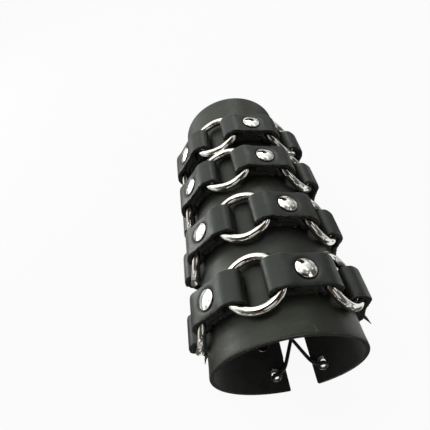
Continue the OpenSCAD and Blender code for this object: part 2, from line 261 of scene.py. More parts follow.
def cloud(tree, vector, scale, detail=4.0, roughness=0.55):
    made = add_node(tree, "TexNoise", {"Scale": scale, "Detail": detail, "Roughness": roughness})
    join(tree, vector, made.inputs["Vector"])
    return made.outputs["Fac"]


def bump(tree, height, distance, strength, under=None):
    made = add_node(tree, "Bump", {"Distance": distance, "Strength": strength})
    join(tree, height, made.inputs["Height"])
    if under is not None:
        join(tree, under, made.inputs["Normal"])
    return made.outputs["Normal"]


def stroke(tree, vector, start, end, half_width):
    """1 on a line between two points, falling to 0 beside it."""
    run = Vector(end) - Vector(start)
    offset = add_node(tree, "VectorMath", {1: start}, operation="SUBTRACT")
    join(tree, vector, offset.inputs[0])
    along = add_node(tree, "VectorMath", {1: run.normalized()}, operation="DOT_PRODUCT")
    join(tree, offset.outputs[0], along.inputs[0])
    across = add_node(tree, "VectorMath", {1: run.normalized()}, operation="CROSS_PRODUCT")
    join(tree, offset.outputs[0], across.inputs[0])
    beside = add_node(tree, "VectorMath", operation="LENGTH")
    join(tree, across.outputs[0], beside.inputs[0])
    past = add_node(tree, "Math", {1: run.length / 2}, operation="SUBTRACT")
    join(tree, along.outputs["Value"], past.inputs[0])
    from_middle = add_node(tree, "Math", operation="ABSOLUTE")
    join(tree, past.outputs[0], from_middle.inputs[0])
    half_length = run.length / 2
    inside = ramp(tree, from_middle.outputs[0], half_length, half_length - half_width, 0, 1)
    near = ramp(tree, beside.outputs["Value"], half_width, STROKE_CORE * half_width, 0, 1)
    mask = add_node(tree, "Math", operation="MULTIPLY")
    join(tree, near, mask.inputs[0])
    join(tree, inside, mask.inputs[1])
    return mask.outputs[0]


def waxed_leather(name, dark, light, warm, roughness, gleam, scratches=()):
    """Grain of waxed leather: streaks, pores, dust, a worn rim with a painted highlight, painted
    shade at caps.
    """
    finish, tree, shader = new_finish(name)
    place = add_node(tree, "TexCoord").outputs["Object"]
    along = add_node(tree, "Mapping", {"Scale": STREAK_SCALE})
    cut = add_node(tree, "UVMap", uv_map="cut").outputs["UV"]
    join(tree, cut, along.inputs["Vector"])
    mottle = cloud(tree, place, MOTTLE_SCALE, 5)
    streaks = cloud(tree, along.outputs["Vector"], 1.0, 5, 0.6)
    broad = cloud(tree, place, BROAD_SCALE, 2)
    tone = blend_colour(tree, ramp(tree, mottle, 0.3, 0.7, 0, 1), dark, light)
    tone = blend_colour(tree, ramp(tree, broad, 0.5, 0.72, 0, 0.8), tone, warm)
    pale = tuple(2.0 * c for c in light)
    tone = blend_colour(tree, ramp(tree, streaks, 0.55, 0.8, 0, 0.45), tone, pale)
    # The rim: real wear with a painted highlight, broken up by the mottle
    rim = add_node(tree, "Attribute", attribute_name="rim").outputs["Fac"]
    worn = add_node(tree, "Math", operation="MULTIPLY")
    join(tree, rim, worn.inputs[0])
    join(tree, ramp(tree, mottle, 0.38, 0.62, 0.15, 1), worn.inputs[1])
    tone = blend_colour(tree, worn.outputs[0], tone, RIM_WEAR_AND_HIGHLIGHT)
    spots = add_node(tree, "TexVoronoi", {"Scale": DUST_SCALE, "Randomness": 1.0})
    join(tree, place, spots.inputs["Vector"])
    dust = ramp(tree, spots.outputs["Distance"], 0.045, 0.03, 0, 0.5)
    tone = blend_colour(tree, dust, tone, DUST)
    # Painted shade: near-black, dull leather in a thin ring at each rivet cap's rim
    near = add_node(tree, "Attribute", attribute_name="near_rivet").outputs["Fac"]
    painted_cap_shade = ramp(tree, near, 0.40, 0.46, 0, 1)
    tone = blend_colour(tree, painted_cap_shade, tone, PAINTED_CAP_SHADE)
    for start, end in scratches:
        tone = blend_colour(tree, stroke(tree, cut, start, end, SCRATCH_HALF), tone, SCRATCHED)
    join(tree, tone, shader.inputs["Base Color"])
    shader.inputs["Specular Tint"].default_value = (*gleam, 1)
    gloss = add_node(tree, "Math", operation="ADD")
    low, high = (roughness + change for change in STREAK_GLOSS)
    join(tree, ramp(tree, streaks, 0.3, 0.7, low, high), gloss.inputs[0])
    join(tree, ramp(tree, mottle, 0.35, 0.65, *MOTTLE_GLOSS), gloss.inputs[1])
    dull = add_node(tree, "Math", operation="MAXIMUM")
    join(tree, gloss.outputs[0], dull.inputs[0])
    join(tree, ramp(tree, painted_cap_shade, 0, 1, 0, CAP_SHADE_ROUGHNESS), dull.inputs[1])
    join(tree, dull.outputs[0], shader.inputs["Roughness"])
    pores = add_node(tree, "TexVoronoi", {"Scale": PORE_SCALE, "Randomness": 1.0})
    join(tree, place, pores.inputs["Vector"])
    normal = bump(tree, cloud(tree, place, GRAIN_SCALE, 3), 0.4 * MM, 0.4)
    normal = bump(tree, pores.outputs["Distance"], 0.12 * MM, 0.35, normal)
    normal = bump(tree, streaks, 0.2 * MM, 0.25, normal)
    join(tree, normal, shader.inputs["Normal"])
    return finish


def flesh_side(name, dark, light):
    """Napped flesh side of the leather."""
    finish, tree, shader = new_finish(name)
    place = add_node(tree, "TexCoord").outputs["Object"]
    nap = cloud(tree, place, NAP_SCALE, 6, 0.7)
    mottle = cloud(tree, place, FLESH_SCALE, 6)
    tone = blend_colour(tree, ramp(tree, mottle, 0.3, 0.7, 0, 1), dark, light)
    join(tree, tone, shader.inputs["Base Color"])
    shader.inputs["Roughness"].default_value = 0.9
    shader.inputs["Sheen Weight"].default_value = 0.25
    shader.inputs["Sheen Roughness"].default_value = 0.5
    join(tree, bump(tree, nap, 0.3 * MM, 0.7), shader.inputs["Normal"])
    return finish


def cut_edge(name, dark, light):
    """Cut edge of the leather, with pale fibres."""
    finish, tree, shader = new_finish(name)
    place = add_node(tree, "TexCoord").outputs["Object"]
    fibres = cloud(tree, place, FIBRE_SCALE, 8, 0.75)
    tone = blend_colour(tree, ramp(tree, fibres, 0.35, 0.75, 0, 1), dark, light)
    tone = blend_colour(tree, ramp(tree, fibres, 0.57, 0.65, 0, 1), tone, FIBRE)
    join(tree, tone, shader.inputs["Base Color"])
    join(tree, ramp(tree, fibres, 0.3, 0.7, 0.6, 0.9), shader.inputs["Roughness"])
    join(tree, bump(tree, fibres, 0.4 * MM, 0.8), shader.inputs["Normal"])
    return finish


def nickel(name, colour, low, high, ripple):
    """Bright plated metal, its roughness between two values, with a slight ripple."""
    finish, tree, shader = new_finish(name)
    place = add_node(tree, "TexCoord").outputs["Object"]
    haze = cloud(tree, place, HAZE_SCALE, 5)
    shader.inputs["Base Color"].default_value = (*colour, 1)
    shader.inputs["Metallic"].default_value = 1.0
    join(tree, ramp(tree, haze, 0.35, 0.7, low, high), shader.inputs["Roughness"])
    waves = cloud(tree, place, RIPPLE_SCALE, 2)
    join(tree, bump(tree, waves, 0.08 * MM, ripple), shader.inputs["Normal"])
    return finish


# Tools for the pieces

GRAIN, FLESH, EDGE = range(3)

# Edges that turn more than this, in radians, are rounded.
SHARP_TURN = 1
# Shares of the thickness at which a slab's sides are cut into layers
SIDE_CUTS = (0.35, 0.65)
# Shares of the rim inside which the corner is worn and painted with a highlight, and inside which a
# face is cut edge
RIM_MARK_SHARE = 0.9
EDGE_SHARE = 0.3


def finish_piece(name, bm, finishes, body, nodes):
    """Makes an object of a mesh, gives it its finishes and puts it in the place of its nodes."""
    data = bpy.data.meshes.new(name)
    bm.to_mesh(data)
    bm.free()
    piece = bpy.data.objects.new(name, data)
    bpy.context.scene.collection.objects.link(piece)
    for finish in finishes:
        data.materials.append(finish)
    for face in data.polygons:
        face.use_smooth = True
    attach(piece, body)
    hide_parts(*nodes)
    return piece


def slab(length, width, thick, long_cuts, cross_cuts, rim):
    """A flat piece of leather with rounded edges: x along, y across and z from its flesh side."""
    bm = bmesh.new()
    bmesh.ops.create_grid(bm, x_segments=long_cuts, y_segments=cross_cuts, size=1)
    reach = max(v.co.x for v in bm.verts)
    bmesh.ops.scale(bm, verts=bm.verts, vec=(length / 2 / reach, width / 2 / reach, 1))
    bmesh.ops.solidify(bm, geom=bm.faces[:], thickness=thick)
    floor = min(v.co.z for v in bm.verts)
    bmesh.ops.translate(bm, verts=bm.verts, vec=(length / 2, 0, -floor))
    bmesh.ops.recalc_face_normals(bm, faces=bm.faces[:])
    sharp = [e for e in bm.edges if e.is_manifold and e.calc_face_angle() > SHARP_TURN]
    bmesh.ops.bevel(
        bm, geom=sharp, offset=rim, offset_type="OFFSET", segments=3, profile=0.5,
        affect="EDGES", clamp_overlap=False, material=-1)
    for share in SIDE_CUTS:
        bmesh.ops.bisect_plane(
            bm, geom=bm.verts[:] + bm.edges[:] + bm.faces[:], plane_co=(0, 0, share * thick),
            plane_no=(0, 0, 1))
    return bm


def mark_slab(bm, length, width, thick, rim, elbow_wear_and_highlight):
    """Marks the sides, the rim, worn and painted with a highlight that is fainter towards the
    elbow, and where the flat piece lies.
    """
    cut = bm.loops.layers.uv.new("cut")
    worn = bm.verts.layers.float.new("rim")
    bm.verts.layers.float.new("near_rivet")
    for vert in bm.verts:
        x, y, z = vert.co
        inset = min(x, length - x, width / 2 - abs(y))
        if inset < RIM_MARK_SHARE * rim and z > thick - RIM_MARK_SHARE * rim:
            # The wrist-side rim faces the light and gets a full painted highlight over its wear;
            # the elbow side gets less.
            vert[worn] = 1.0 if y > 0 else elbow_wear_and_highlight
    for face in bm.faces:
        middle = face.calc_center_median()
        inset = min(middle.x, length - middle.x, width / 2 - abs(middle.y))
        if inset < EDGE_SHARE * rim:
            face.material_index = EDGE
        elif middle.z > thick / 2:
            face.material_index = GRAIN
        else:
            face.material_index = FLESH
        for loop in face.loops:
            loop[cut].uv = (loop.vert.co.x, loop.vert.co.y)


# Sleeve

EYELETS_AT = [
    ELBOW_EYELET_IN,
    (ROWS["row_4"] + ROWS["row_3"]) / 2,
    (ROWS["row_3"] + ROWS["row_2"]) / 2,
    (ROWS["row_2"] + ROWS["row_1"]) / 2,
    SLEEVE_LEN - WRIST_EYELET_IN]

SLEEVE_CUT = math.pi * (ELBOW_R + WRIST_R) - GAP_W
SLEEVE_RIM = 0.6 * MM
# Share of the rim's wear and painted highlight towards the elbow
SLEEVE_ELBOW_WEAR_AND_HIGHLIGHT = 0.6
SLEEVE_CELLS = (176, 120)

# The leather sags a little between its ends, more here and less there.
SAG = 0.25 * MM
SAG_START = 8 * MM
SAG_ROUND = 3.2
SAG_ALONG = 28
SAG_SEED = 4.0

HOLE_SIDES = 32
NEARLY_MET = 0.01 * MM


def gap_turn(at, height=0):
    """Turn from the top to the edge of the laced gap."""
    return math.pi - math.asin(GAP_HALF / (sleeve_r(at) + height))


def cut_point(at, degrees):
    """Where a place on the sleeve lies on the piece as cut, from its corner and its middle line."""
    return (SLEEVE_CUT * (math.radians(degrees) / gap_turn(at) + 1) / 2, at - SLEEVE_LEN / 2, 0)


SCRATCHES = [
    (cut_point(4.4 * MM, 29.4), cut_point(0.9 * MM, 32)),
    (cut_point(2.5 * MM, 30.3), cut_point(0.2 * MM, 29.7))]


def eyelet_place(at, side):
    return on_sleeve(at, side * (math.pi - EYELET_IN / sleeve_r(at)))


def eyelet_cutter():
    hole_r = EYELET_BORE / 2 + EYELET_WALL
    bm = bmesh.new()
    for at in EYELETS_AT:
        for side in SIDES.values():
            bmesh.ops.create_cone(
                bm, cap_ends=True, segments=HOLE_SIDES, radius1=hole_r, radius2=hole_r,
                depth=4 * SLEEVE_T, matrix=eyelet_place(at, side))
    data = bpy.data.meshes.new("eyelet_cutter")
    bm.to_mesh(data)
    bm.free()
    cutter = bpy.data.objects.new("eyelet_cutter", data)
    bpy.context.scene.collection.objects.link(cutter)
    return cutter


def bake_modifiers(piece):
    """Turns a piece's modifiers into its mesh and joins points that nearly meet."""
    graph = bpy.context.evaluated_depsgraph_get()
    made = bpy.data.meshes.new_from_object(
        piece.evaluated_get(graph), preserve_all_data_layers=True, depsgraph=graph)
    piece.modifiers.clear()
    bm = bmesh.new()
    bm.from_mesh(made)
    bmesh.ops.dissolve_degenerate(bm, dist=NEARLY_MET, edges=bm.edges[:])
    bm.to_mesh(made)
    bm.free()
    piece.data = made


def add_sleeve(finishes):
    bm = slab(SLEEVE_CUT, SLEEVE_LEN, SLEEVE_T, *SLEEVE_CELLS, SLEEVE_RIM)
    mark_slab(bm, SLEEVE_CUT, SLEEVE_LEN, SLEEVE_T, SLEEVE_RIM, SLEEVE_ELBOW_WEAR_AND_HIGHLIGHT)
    for vert in bm.verts:
        x, y, z = vert.co
        at = y + SLEEVE_LEN / 2
        turn = (2 * x / SLEEVE_CUT - 1) * gap_turn(at)
        slack = noise.noise(Vector((SAG_ROUND * turn, SAG_ALONG * at, SAG_SEED)))
        sag = SAG * (slack - 1) * smooth_step(min(at, SLEEVE_LEN - at), 0, SAG_START)
        vert.co = on_sleeve(at, turn) @ Vector((0, 0, z - SLEEVE_T + sag))
    bmesh.ops.recalc_face_normals(bm, faces=bm.faces[:])
    piece = finish_piece("leather_sleeve", bm, finishes, "gauntlet", ["sleeve"])
    cutter = eyelet_cutter()
    holes = piece.modifiers.new("eyelet_holes", "BOOLEAN")
    holes.operation = "DIFFERENCE"
    holes.solver = "EXACT"
    holes.object = cutter
    bake_modifiers(piece)
    bpy.data.objects.remove(cutter)


# Straps
# A strap's run is a list of its outer and inner points, each a turn and a height over the sleeve.

# Steps of a run: under the wire, round it, away from it, on a seat, on a folded end, on to the gap
UNDER_STEPS = 4
WIRE_STEPS = 28
LEAVE_STEPS = 8
SEAT_STEPS = 10
LAP_STEPS = 24
BAND_STEPS = 90

# A layer on a folded end steps down from a little before that end to some way past it.
STEP_IN = 0.3 * MM
STEP_OUT = 3 * MM
END_STEP_IN = 0.4 * MM
END_STEP_OUT = 3.6 * MM

# An end strap's flat seat fades into its bend within this share of the seat.
SEAT_FADE = 1.5

# A run is softened all over first, then only on its top layer.
RUN_SPACING = 0.5 * MM
SOFT_PASSES_ALL = 6
SOFT_PASSES = 40
SOFT_FADE = 4 * MM
INNER_POWER = 4


def polar(x, y, r):
    """Turn and height over the sleeve of a point beside and above its top."""
    return math.atan2(x, r + y), math.hypot(x, r + y) - r


def round_wire(x, radius, angle, r):
    """A point beside the ring's wire, at an angle round a place at the wire's height."""
    return polar(x + radius * math.cos(angle), RING_LIFT + radius * math.sin(angle), r)


def flat_height(turn, height, r):
    """Height over the round sleeve of a flat seat, away from its rivet."""
    return (r + height) / math.cos(turn) - r


def at_ring(x, y, r, beta):
    """A point by the rivet, as seen from its ring at a turn from it."""
    turn = math.atan2(x, r + y) + beta
    far = math.hypot(x, r + y)
    return far * math.sin(turn), far * math.cos(turn) - r


def leave_dir(point, radius, r, beta):
    """Direction from the wire at which a face bent round it leaves it, straight to a point."""
    x, y = at_ring(*point, r, beta)
    to_point = Vector((x - RING_R, y - RING_LIFT))
    return math.atan2(to_point.y, to_point.x) + math.acos(min(1, radius / to_point.length))


def fold_run(r, beta, stack):
    """One fold in its ring's own turns: from under the wire, round it and down to a seat."""
    outer, inner = CHANNEL + STRAP_T, CHANNEL
    floor_y = RING_LIFT - CHANNEL
    floor_x = math.sqrt((r + STRAP_T) ** 2 - (r + floor_y) ** 2)
    run = []
    for x in steps(floor_x, FOLD_X, UNDER_STEPS):
        turn, height = polar(x, floor_y, r)
        run.append((turn, CREASE, turn, height))
    for angle in steps(-math.pi / 2, -3 * math.pi / 2, WIRE_STEPS)[1:]:
        turn, height = round_wire(FOLD_X, outer, angle, r)
        run.append((turn, max(height, CREASE), *round_wire(FOLD_X, inner, angle, r)))
    far_leave = leave_dir((-SEAT_HALF, stack), outer, r, beta)
    near_leave = leave_dir((-SEAT_HALF, stack - STRAP_T), inner, r, beta)
    far_angles = steps(math.pi / 2, far_leave, LEAVE_STEPS)
    near_angles = steps(math.pi / 2, near_leave, LEAVE_STEPS)
    for a, b in zip(far_angles, near_angles):
        run.append((*round_wire(RING_R, outer, a, r), *round_wire(RING_R, inner, b, r)))
    return run


def seat_run(first, last, stack, r):
    """The flat top layer on a rivet's seat."""
    return [
        (turn, flat_height(turn, stack, r), turn, flat_height(turn, stack - STRAP_T, r) + CREASE)
        for turn in steps(first, last, SEAT_STEPS)]


def lap_run(first, last, layer_at):
    """A folded end, at the height that layer_at gives."""
    return [
        (turn, layer_at(turn) + CREASE, turn, layer_at(turn) + STRAP_T)
        for turn in steps(first, last, LAP_STEPS)]


def mirrored(run):
    """The run from the other side of the top, and from its other end."""
    return [(-a, b, -c, d) for a, b, c, d in reversed(run)]


def shifted(run, by):
    return [(a + by, b, c + by, d) for a, b, c, d in run]


def link_run(at):
    """A link: a folded end, round a ring, over the rivet, round a ring and a folded end on top."""
    r = sleeve_r(at)
    beta = ring_turn(at) / 2
    stack = RIVET_STACK[0]
    lap = (RING_PITCH / 2 - RING_R - RING_WIRE / 2 - LAP_GAP) / (r + RING_LIFT)
    seat = SEAT_HALF / (r + stack)
    fold = shifted(fold_run(r, beta, stack), -beta)
    under = fold[0][0]

    def over_end(turn):
        return (STRAP_T + FOLD_LOFT) * smooth_step(turn, -lap - STEP_OUT / r, -lap + STEP_IN / r)

    below = lap_run(lap, under, lambda turn: 0)
    above = mirrored(lap_run(lap, under, over_end))
    return below[:-1] + fold + seat_run(-seat, seat, stack, r) + mirrored(fold) + above[1:]


def end_run(at, first):
    """An end strap: a folded end, round a ring, over its first rivet and along the sleeve."""
    r = sleeve_r(at)
    beta = end_fold_turn(at)
    stack = RIVET_STACK[1]
    lap = FOLD_LAP / r
    seat = SEAT_HALF / (r + stack)
    fold = shifted(fold_run(r, beta, stack), -beta)
    under = fold[0][0]
    closure = gap_turn(at, STRAP_T) - first
    rivet = end_rivet_turn(at) - first

    def top(turn):
        past_lap = smooth_step(turn, lap - END_STEP_IN / r, lap + END_STEP_OUT / r)
        on_lap = (stack - STRAP_T) * (1 - past_lap)
        flat = flat_height(turn, stack, r) - stack
        level = flat * (1 - smooth_step(turn, seat, SEAT_FADE * seat))
        last = flat_height(turn - rivet, STRAP_T, r) - STRAP_T
        level += last * (1 - smooth_step(abs(turn - rivet), seat, SEAT_FADE * seat))
        return STRAP_T + on_lap + level

    below = lap_run(lap, under, lambda turn: 0)
    band = [
        (turn, top(turn), turn, top(turn) - STRAP_T + CREASE)
        for turn in steps(-seat, closure, BAND_STEPS)]
    return below[:-1] + fold + band


class Run:
    """A strap's run by the distance along its middle."""

    def __init__(self, run, r, soft_turns):
        self.r = r
        self.points = self.even(run)
        self.points = self.even(self.softened(self.points, soft_turns))
        self.length = self.spacing * (len(self.points) - 1)

    def middle(self, point):
        far, turn = self.r + (point[1] + point[3]) / 2, (point[0] + point[2]) / 2
        return Vector((far * math.sin(turn), far * math.cos(turn)))

    def even(self, run):
        """The run with points an even distance apart."""
        marks = [0.0]
        for a, b in zip(run, run[1:]):
            marks.append(marks[-1] + (self.middle(b) - self.middle(a)).length)
        count = max(2, round(marks[-1] / RUN_SPACING))
        self.spacing = marks[-1] / count
        made = []
        i = 0
        for k in range(count + 1):
            goal = min(k * self.spacing, marks[-1])
            while i < len(run) - 2 and marks[i + 1] < goal:
                i += 1
            span = marks[i + 1] - marks[i]
            share = (goal - marks[i]) / span if span else 0.0
            made.append(tuple(p + share * (q - p) for p, q in zip(run[i], run[i + 1])))
        return made

    def softened(self, run, soft_turns):
        """The run with rounder bends, most so on its top layer between two turns."""
        low, high = soft_turns
        fade = SOFT_FADE / self.r
        for k in range(SOFT_PASSES):
            inner = []
            for a, b, c in zip(run, run[1:], run[2:]):
                share = smooth_step(b[0], low - fade, low + fade)
                share *= smooth_step(-b[0], -high - fade, -high + fade)
                if k < SOFT_PASSES_ALL:
                    share = 1
                elif b[1] < RING_LIFT:
                    share = 0
                shares = (share, share, share ** INNER_POWER, share ** INNER_POWER)
                inner.append(tuple(
                    q + u * ((p + 2 * q + s) / 4 - q) for p, q, s, u in zip(a, b, c, shares)))
            run = [run[0], *inner, run[-1]]
        return run

    def at(self, distance):
        """The outer and inner point at a distance along the run."""
        k = min(max(distance / self.spacing, 0), len(self.points) - 1)
        i = min(int(k), len(self.points) - 2)
        return tuple(p + (k - i) * (q - p) for p, q in zip(self.points[i], self.points[i + 1]))


STRAP_RIM = 0.5 * MM
# Share of the rim's wear and painted highlight on the elbow side
STRAP_ELBOW_WEAR_AND_HIGHLIGHT = 0.35
STRAP_CELL = 0.9 * MM
STRAP_CROSS_CELLS = 20

# Waves and fray of a strap's edges, and how they follow one another along, across and through it
WAVE = 0.22 * MM
WAVE_SHARES = (0.35, 0.5)
WAVE_ALONG = 90
FRAY_ELBOW = 0.75 * MM
FRAY_WRIST = 0.2 * MM
FRAY_IN = (1.4 * MM, 0.3 * MM)
FRAY_SCALE = (600, 300, 900)
DROP_SHARE = 0.5
DROP_ALONG = 750

# The leather swells round a rivet's cap and dips at its rim: shares of the cap's width
SWELL = 0.35 * MM
SWELL_SHARES = (0.54, 0.66, 1.1)
DENT = 0.3 * MM
DENT_AT = 0.51
DENT_SHARES = (0.02, 0.08)


def rough_edge(x, y, z, seed):
    """Where a point lies across its strap and how far it drops, with the edge's waves and fray."""
    low, high = WAVE_SHARES
    edge = smooth_step(abs(y), low * STRAP_W, high * STRAP_W)
    wave = noise.noise(Vector((x * WAVE_ALONG, math.copysign(3, y), 0)) + seed)
    y += math.copysign(WAVE * wave * edge, y)
    start, full = FRAY_IN
    fray = smooth_step(abs(y), STRAP_W / 2 - start, STRAP_W / 2 - full)
    rough = FRAY_ELBOW if y < 0 else FRAY_WRIST
    along, across, through = FRAY_SCALE
    y += fray * rough * noise.noise(Vector((x * along, y * across, z * through)) + seed)
    worn = abs(noise.noise(Vector((x * DROP_ALONG, 5, 0)) + seed))
    return y, fray * DROP_SHARE * rough * (z / STRAP_T) * worn


def pressed_rise(out):
    """How far the leather rises at a distance from a rivet's middle."""
    start, top, end = (share * CAP_D for share in SWELL_SHARES)
    swell = smooth_step(out, start, top) * (1 - smooth_step(out, top, end))
    low, high = (share * CAP_D for share in DENT_SHARES)
    dent = 1 - smooth_step(abs(out - DENT_AT * CAP_D), low, high)
    return SWELL * swell - DENT * dent


def bend_strap(name, at, turn, side, run, rivets, finishes):
    """Cuts a strip of leather and bends it along its run, at a turn from the top to a side."""
    r = sleeve_r(at)
    soft_half = (RING_PITCH / 2 - RING_R) / (r + RING_LIFT)
    run = Run(run, r, (-soft_half, soft_half))
    cells = round(run.length / STRAP_CELL)
    bm = slab(run.length, STRAP_W, STRAP_T, cells, STRAP_CROSS_CELLS, STRAP_RIM)
    mark_slab(bm, run.length, STRAP_W, STRAP_T, STRAP_RIM, STRAP_ELBOW_WEAR_AND_HIGHLIGHT)
    seed = Vector((100 * at, 7 * turn, side))
    near = bm.verts.layers.float["near_rivet"]
    for vert in bm.verts:
        x, y, z = vert.co
        share = z / STRAP_T
        outer_turn, outer_h, inner_turn, inner_h = run.at(x)
        at_turn = inner_turn + share * (outer_turn - inner_turn)
        y, drop = rough_edge(x, y, z, seed)
        height = inner_h + share * (outer_h - inner_h) - drop
        if share > 0.5:
            for rivet in rivets:
                out = math.hypot((at_turn - rivet) * (r + height), y)
                # Nearness to the rivet, which the grain uses for the painted shade at its cap
                vert[near] = max(vert[near], 1 - out / CAP_D)
                height += pressed_rise(out) * (2 * share - 1)
        vert.co = on_sleeve(at, side * (turn + at_turn)) @ Vector((0, y, height))
    if bm.calc_volume(signed=True) < 0:
        bmesh.ops.reverse_faces(bm, faces=bm.faces[:])
    finish_piece(name, bm, finishes, "gauntlet", [name.replace("leather_", "")])


def add_straps(finishes):
    for row, at in ROWS.items():
        for side_name, side in SIDES.items():
            beta = ring_turn(at) / 2 + side * row_turn(row)
            first = ring_turn(at) + end_fold_turn(at) + side * row_turn(row)
            last = end_rivet_turn(at) - first
            link = f"leather_{row}_link_{side_name}"
            end_strap = f"leather_{row}_end_strap_{side_name}"
            bend_strap(link, at, beta, side, link_run(at), [0], finishes)
            bend_strap(end_strap, at, first, side, end_run(at, first), [0, last], finishes)


# Metal

SAME_POINT = 0.001 * MM

# Steps round each kind of piece, and along its profile
WIRE_SIDES = 28
RING_STEPS = 120
CAP_STEPS = 56
POST_STEPS = 48
EYELET_STEPS = 40
DOME_STEPS = 14
RIM_STEPS = 8

# Half of a ring's weld, in radians, and the share by which the wire swells there
WELD_HALF = 0.05
WELD_SWELL = 0.035

# An outer cap: its space over the leather, its rim, how far the dome runs to it, and its foot
CAP_REST = 0.02 * MM
CAP_RIM_R = 0.42 * MM
CAP_RIM_TOP = 70
DOME_SHARE = 0.97
CAP_FOOT_R = 0.6 * CAP_D / 2

# The dimple of an inner cap: its floor, its edge and its depth
DIMPLE_R = 1.2 * MM
DIMPLE_EDGE_R = 1.7 * MM
DIMPLE_H = 0.15 * MM


def turned_set(places, profiles, segments):
    """One mesh with a turned profile of radii and heights at each place."""
    whole = bmesh.new()
    for place, profile in zip(places, profiles):
        bm = bmesh.new()
        verts = [bm.verts.new((radius, 0, height)) for radius, height in profile]
        edges = [bm.edges.new(pair) for pair in zip(verts, verts[1:])]
        bmesh.ops.spin(
            bm, geom=verts + edges, cent=(0, 0, 0), axis=(0, 0, 1), angle=2 * math.pi,
            steps=segments, use_merge=True)
        bmesh.ops.remove_doubles(bm, verts=bm.verts[:], dist=SAME_POINT)
        bmesh.ops.recalc_face_normals(bm, faces=bm.faces[:])
        bmesh.ops.transform(bm, matrix=place, verts=bm.verts[:])
        data = bpy.data.meshes.new("turned")
        bm.to_mesh(data)
        bm.free()
        whole.from_mesh(data)
        bpy.data.meshes.remove(data)
    return whole


def arc_points(x, y, r, first, last, count):
    """Points on an arc between two angles in degrees."""
    return [
        (x + r * math.cos(math.radians(a)), y + r * math.sin(math.radians(a)))
        for a in steps(first, last, count)]


def add_rings(finish):
    """The rings, each a full turn of its wire with a faint swelling at the weld."""
    for row, at in ROWS.items():
        for side_name, side in RINGS.items():
            node = f"{row}_ring_{side_name}"
            turn = row_turn(row) + side * ring_turn(at)
            place = on_sleeve(at, turn) @ Matrix.Translation((0, 0, RING_LIFT))
            bm = bmesh.new()
            bmesh.ops.create_circle(
                bm, segments=WIRE_SIDES, radius=RING_WIRE / 2,
                matrix=Matrix.Translation((RING_R, 0, 0)) @ Matrix.Rotation(math.pi / 2, 4, "X"))
            bmesh.ops.spin(
                bm, geom=bm.verts[:] + bm.edges[:], cent=(0, 0, 0), axis=(0, 0, 1),
                angle=2 * math.pi, steps=RING_STEPS, use_merge=True)
            bmesh.ops.recalc_face_normals(bm, faces=bm.faces[:])
            for vert in bm.verts:
                weld = math.exp(-(math.atan2(vert.co.y, vert.co.x) / WELD_HALF) ** 2)
                middle = Vector((vert.co.x, vert.co.y, 0)).normalized() * RING_R
                vert.co = middle + (vert.co - middle) * (1 + WELD_SWELL * weld)
            bmesh.ops.transform(bm, matrix=place, verts=bm.verts[:])
            finish_piece(f"nickel_{node}", bm, [finish], node, [node])


def rivet_places(row):
    """A frame on the sleeve for each rivet of a row, with the leather's height under its cap."""
    at = ROWS[row]
    places = []
    for side in SIDES.values():
        turns = [
            row_turn(row) + side * ring_turn(at) / 2,
            row_turn(row) + side * (ring_turn(at) + end_fold_turn(at)),
            side * end_rivet_turn(at)]
        places += [(on_sleeve(at, turn), stack) for turn, stack in zip(turns, RIVET_STACK)]
    return places


def cap_profile():
    """The domed cap's outside, its rounded rim and the flat that presses on the leather."""
    dome_h = CAP_H - 2 * CAP_RIM_R
    edge = CAP_D / 2 - CAP_RIM_R
    dome_r = (edge ** 2 + dome_h ** 2) / (2 * dome_h)
    dome = [
        (edge * share, CAP_H - dome_r + math.sqrt(dome_r ** 2 - (edge * share) ** 2))
        for share in steps(0, DOME_SHARE, DOME_STEPS)]
    rim = arc_points(edge, CAP_RIM_R, CAP_RIM_R, CAP_RIM_TOP, -90, RIM_STEPS)
    return dome + rim + [(CAP_FOOT_R, 0), (0, 0)]


def post_profile(at, stack):
    """The inner cap with its dimple, and the post up through the leather to the outer cap."""
    hollow_r = sleeve_r(at) - SLEEVE_T
    drop = hollow_r - math.sqrt(hollow_r ** 2 - (BACK_CAP_D / 2) ** 2)
    back = -SLEEVE_T - drop - CREASE
    low = back - BACK_CAP_T
    edge = BACK_CAP_T / 2
    dimple = [(0, low + DIMPLE_H), (DIMPLE_R, low + DIMPLE_H), (DIMPLE_EDGE_R, low)]
    rim = arc_points(BACK_CAP_D / 2 - edge, back - edge, edge, -90, 90, RIM_STEPS)
    return dimple + rim + [(POST_D / 2, back), (POST_D / 2, stack), (0, stack)]


def add_rivets(finish):
    for row, at in ROWS.items():
        places = rivet_places(row)
        on_leather = [
            place @ Matrix.Translation((0, 0, stack + CAP_REST)) for place, stack in places]
        caps = turned_set(on_leather, [cap_profile()] * len(places), CAP_STEPS)
        profiles = [post_profile(at, stack) for place, stack in places]
        posts = turned_set([place for place, stack in places], profiles, POST_STEPS)
        for node, bm in ((f"{row}_rivet_caps", caps), (f"{row}_rivet_posts", posts)):
            finish_piece(f"nickel_{node}", bm, [finish], "gauntlet", [node])


